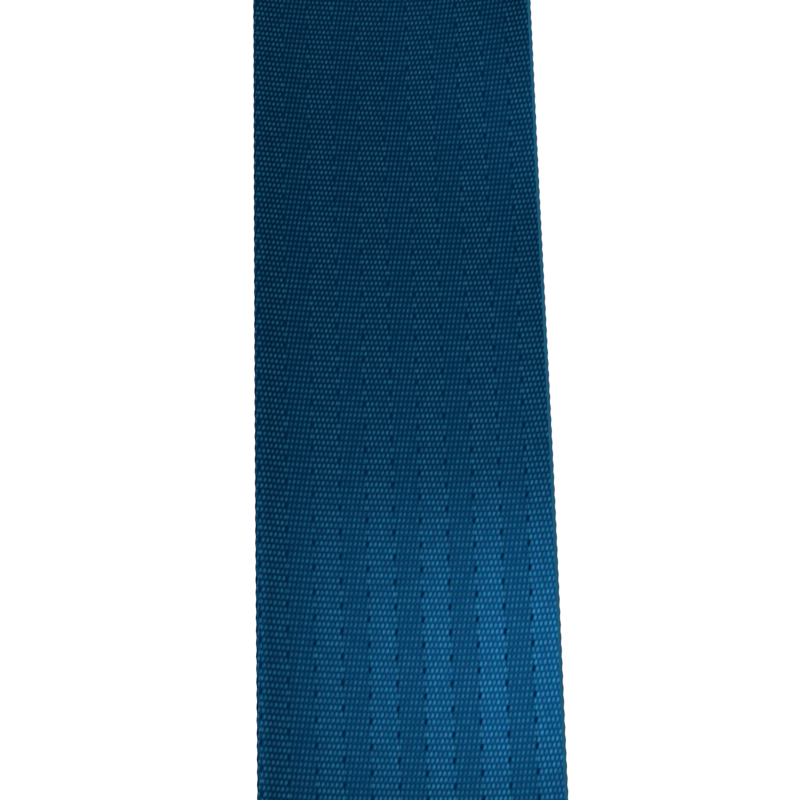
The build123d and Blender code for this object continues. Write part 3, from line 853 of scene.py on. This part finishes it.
def plated_steel(hardware):
    """Satin zinc plate: faint drawn grain and a little clouding."""
    steel = Finish("plated_steel")
    place = steel.field("ShaderNodeTexCoord", output="Object")
    cloud = steel.noise(60.0, 3.0, place)
    grain = steel.noise(900.0, 2.0, place)
    return steel.surface(
        base_color=steel.blend(cloud, solid(hardware.plated, 0.82), solid(hardware.plated)),
        metallic=1.0,
        roughness=0.55 + cloud * 0.07 + grain * 0.1,
        normal=steel.bump(grain, 0.02 * MM, 0.35),
    )


def blasted_aluminium(hardware):
    """Bead-blasted, clear anodised aluminium."""
    metal = Finish("blasted_aluminium")
    bead = metal.noise(2200.0, 1.0)
    cloud = metal.noise(45.0, 2.0)
    return metal.surface(
        base_color=metal.blend(cloud, solid(hardware.aluminium, 0.9), solid(hardware.aluminium)),
        metallic=1.0,
        roughness=0.5 + bead * 0.12,
        normal=metal.bump(bead, 0.03 * MM, 0.5),
    )


def black_metal(hardware, name, base_rough):
    """Black anodised or oxidised metal, worn a little greyer in patches."""
    metal = Finish(name)
    worn_patches = {"stops": ((0.52, 0.0), (0.78, 1.0))}
    wear = metal.field("ShaderNodeValToRGB", worn_patches, {"Fac": metal.noise(140.0, 5.0)})
    grain = metal.noise(1800.0, 1.0)
    return metal.surface(
        base_color=metal.blend(wear, solid(hardware.black), solid(hardware.black, 2.4)),
        metallic=0.55,
        roughness=base_rough + grain * 0.12,
        normal=metal.bump(grain, 0.02 * MM, 0.4),
    )


def moulded_rubber(hardware):
    """Matt rubber with a fine pebbled face."""
    rubber = Finish("moulded_rubber")
    place = rubber.field("ShaderNodeTexCoord", output="Object")
    pebble = rubber.field("ShaderNodeTexVoronoi", None, {"Vector": place, "Scale": 1100.0})
    cloud = rubber.noise(80.0)
    return rubber.surface(
        base_color=rubber.blend(cloud, solid(hardware.rubber), solid(hardware.rubber, 1.8)),
        roughness=0.72 + pebble * 0.15,
        normal=rubber.bump(pebble, 0.08 * MM, 0.5),
    )


def give(material, *nodes):
    """Puts a finish on CAD nodes."""
    for name in nodes:
        node = frame["nodes"][name]
        if not node.data.materials:
            node.data.materials.append(material)
        for number in range(len(node.data.materials)):
            node.data.materials[number] = material


def shared_webbing(web):
    """The one webbing material, made the first time that it is asked for."""
    return bpy.data.materials.get("woven_webbing") or woven_webbing(web)


# ---- operators ----


class HARNESS_OT_adjusted_webbing(bpy.types.Operator):
    """Lays the main webbing, its tail and its grip-bar wrap on each adjusted belt"""

    bl_idname = "harness.adjusted_webbing"
    bl_label = "Adjusted webbing"

    def execute(self, context):
        web = context.scene.harness_webbing
        cloth = shared_webbing(web)
        for belt in ADJUSTED_BELTS:
            rise = rise_of(belt, web)
            main, tail, wrap = main_route(belt, web), tail_route(belt, web), wrap_route(belt)
            outer = woven_strip(main.length, web)
            lay(outer, main, rise)
            free = woven_strip(tail.length, web, wrap.length, -1)
            lay(free, tail, rise)
            strap = finished_piece(f"{belt.name}_strap", joined([outer, free]), cloth, belt)
            belt.at(belt.adjuster + STRAP_BLEND[0])
            belt.at(belt.adjuster + STRAP_BLEND[1])
            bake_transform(strap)
            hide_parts(f"{belt.name}_webbing")
            around = woven_strip(wrap.length, web, 0.0, -1)
            lay(around, wrap)
            turn = finished_piece(f"{belt.name}_strap_turn", around, cloth, belt)
            belt.at(belt.adjuster + TURN_BLEND[0])
            belt.at(belt.adjuster + TURN_BLEND[1])
            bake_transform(turn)
            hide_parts(f"{belt.name}_grip_wrap")
        return {"FINISHED"}


class HARNESS_OT_front_loops(bpy.types.Operator):
    """Lays the doubled loop between each tongue and its adjuster"""

    bl_idname = "harness.front_loops"
    bl_label = "Front loops"

    def execute(self, context):
        web = context.scene.harness_webbing
        cloth = shared_webbing(web)
        for belt in ADJUSTED_BELTS:
            route = loop_route(belt, web)
            strip = woven_strip(route.length, web)
            lay(strip, route)
            loop = finished_piece(f"{belt.name}_loop", strip, cloth, belt)
            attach(loop, f"{belt.name}_belt")
            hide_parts(f"{belt.name}_front_loop")
        return {"FINISHED"}


class HARNESS_OT_crotch_webbing(bpy.types.Operator):
    """Lays the crotch belt's webbing"""

    bl_idname = "harness.crotch_webbing"
    bl_label = "Crotch webbing"

    def execute(self, context):
        web = context.scene.harness_webbing
        belt = BELTS["crotch"]
        route = crotch_route(belt, web)
        strip = woven_strip(route.length, web)
        lay(strip, route)
        strap = finished_piece("crotch_strap", strip, shared_webbing(web), belt)
        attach(strap, "crotch_belt")
        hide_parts("crotch_webbing")
        return {"FINISHED"}


class HARNESS_OT_sewing(bpy.types.Operator):
    """Sews the front loops, the hems of the tails and the crotch belt's eye"""

    bl_idname = "harness.sewing"
    bl_label = "Sewing"

    def execute(self, context):
        web, sewing = context.scene.harness_webbing, context.scene.harness_sewing
        thread = sewing_thread(sewing)
        for belt in ADJUSTED_BELTS:
            loop = loop_route(belt, web)
            middle, end = loop.length / 2, loop.length
            flat = bmesh.new()
            box_seam(flat, middle - LOOP_SEAM, middle + LOOP_SEAM, web, sewing)
            box_seam(flat, LOOP_JOINT, LOOP_SEAM, web, sewing, crossed=False)
            box_seam(flat, end - LOOP_SEAM, end - LOOP_JOINT, web, sewing, crossed=False)
            lay(flat, loop)
            seam = finished_piece(f"{belt.name}_loop_seam", flat, thread, belt)
            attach(seam, f"{belt.name}_belt")
            tail = tail_route(belt, web)
            end = tail.length
            hem = bmesh.new()
            box_seam(hem, end - HEM_LENGTH + SEAM_INSET, end - HEM_INSET, web, sewing, crossed=False)
            lay(hem, tail, rise_of(belt, web))
            hem_seam = finished_piece(f"{belt.name}_hem_seam", hem, thread, belt)
            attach(hem_seam, f"{belt.name}_belt")
        belt = BELTS["crotch"]
        flat = bmesh.new()
        box_seam(flat, SEAM_INSET, SEWN_LENGTH - SEAM_INSET, web, sewing)
        lay(flat, crotch_route(belt, web))
        seam = finished_piece("crotch_seam", flat, thread, belt)
        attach(seam, "crotch_belt")
        return {"FINISHED"}


class HARNESS_OT_hardware(bpy.types.Operator):
    """Finishes the metal and rubber parts"""

    bl_idname = "harness.hardware"
    bl_label = "Hardware finishes"

    def execute(self, context):
        hardware = context.scene.harness_hardware
        steel = plated_steel(hardware)
        give(steel, *(n for n in frame["nodes"] if n.endswith(("tongue", "bracket", "grip_bar"))))
        give(steel, "base_plate", "cam_hub", "latch_plate", "return_spring", "fixed_tongue_rivets")
        give(blasted_aluminium(hardware), "housing")
        give(black_metal(hardware, "black_anodised", base_rough=0.3), "release_knob")
        oxide = black_metal(hardware, "black_oxide", base_rough=0.36)
        give(oxide, *(n for n in frame["nodes"] if n.endswith(("slide", "adjuster_frame"))))
        give(oxide, "housing_screws", "knob_screw")
        give(moulded_rubber(hardware), "base_pad")
        return {"FINISHED"}


class HARNESS_OT_stage(bpy.types.Operator):
    """Makes the floor, the light and the camera"""

    bl_idname = "harness.stage"
    bl_label = "Stage"

    def execute(self, context):
        stage, scene = context.scene.harness_stage, context.scene
        ground = bmesh.new()
        bmesh.ops.create_grid(ground, x_segments=1, y_segments=1, size=FLOOR_REACH)
        mesh = bpy.data.meshes.new("floor")
        ground.to_mesh(mesh)
        ground.free()
        paper = Finish("floor_paper")
        mesh.materials.append(
            paper.surface(
                base_color=solid(stage.floor_colour),
                roughness=0.9,
                specular_ior_level=0.0,
                emission_color=(1, 1, 1, 1),
                emission_strength=stage.glow,
            )
        )
        floor = bpy.data.objects.new("floor", mesh)
        scene.collection.objects.link(floor)
        world = bpy.data.worlds.new("studio")
        world.use_nodes = True
        background = world.node_tree.nodes["Background"]
        background.inputs["Color"].default_value = (1, 1, 1, 1)
        background.inputs["Strength"].default_value = stage.ambient
        scene.world = world
        belt = BELTS["right_shoulder"]
        away = Vector((cos(belt.heading), sin(belt.heading), 0))
        aside = Vector((-away.y, away.x, 0))
        lean = away * tan(stage.key_lean) + aside * tan(stage.key_side)
        self.key_light(stage, lean + Vector((0, 0, 1)))
        self.camera(stage, belt, belt.at(stage.place, LOWER_Z) + aside * stage.aside)
        scene.view_settings.view_transform = "Standard"
        return {"FINISHED"}

    @staticmethod
    def key_light(stage, towards):
        light = bpy.data.lights.new("key", "SUN")
        light.energy, light.angle = stage.key, stage.key_spread
        lamp = bpy.data.objects.new("key", light)
        lamp.rotation_euler = towards.to_track_quat("Z", "Y").to_euler()
        bpy.context.scene.collection.objects.link(lamp)

    @staticmethod
    def camera(stage, belt, target):
        facing = belt.heading - stage.turn
        level = Vector((cos(facing), sin(facing), 0))
        back = Vector((0, 0, sin(stage.elevation))) - level * cos(stage.elevation)
        lens = bpy.data.cameras.new("camera")
        lens.lens, lens.sensor_width = stage.lens, SENSOR_WIDTH
        camera = bpy.data.objects.new("camera", lens)
        camera.location = target + back * stage.distance
        camera.rotation_euler = (-back).to_track_quat("-Z", "Y").to_euler()
        bpy.context.scene.collection.objects.link(camera)
        bpy.context.scene.camera = camera


class HARNESS_PT_sidebar(bpy.types.Panel):
    """Sizes, colours and making of the harness"""

    bl_idname = "HARNESS_PT_sidebar"
    bl_label = "Racing Harness"
    bl_space_type = "VIEW_3D"
    bl_region_type = "UI"
    bl_category = "Harness"

    def draw(self, context):
        layout = self.layout
        for name, kind in SETTINGS.items():
            box = layout.box()
            box.label(text=kind.__doc__)
            for prop in kind.__annotations__:
                box.prop(getattr(context.scene, name), prop)
        for maker in MAKERS:
            layout.operator(maker.bl_idname)


SETTINGS = {
    "harness_webbing": WebbingSettings,
    "harness_sewing": SewingSettings,
    "harness_hardware": HardwareSettings,
    "harness_stage": StageSettings,
}
MAKERS = (
    HARNESS_OT_stage,
    HARNESS_OT_adjusted_webbing,
    HARNESS_OT_front_loops,
    HARNESS_OT_crotch_webbing,
    HARNESS_OT_sewing,
    HARNESS_OT_hardware,
)
CLASSES = (*SETTINGS.values(), *MAKERS, HARNESS_PT_sidebar)


def register():
    for kind in CLASSES:
        bpy.utils.register_class(kind)
    for name, kind in SETTINGS.items():
        setattr(bpy.types.Scene, name, PointerProperty(type=kind))


def unregister():
    for name in SETTINGS:
        delattr(bpy.types.Scene, name)
    for kind in reversed(CLASSES):
        bpy.utils.unregister_class(kind)


def main():
    register()
    for maker in MAKERS:
        group, name = maker.bl_idname.split(".")
        getattr(getattr(bpy.ops, group), name)()
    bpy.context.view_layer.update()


if __name__ == "__main__":
    main()
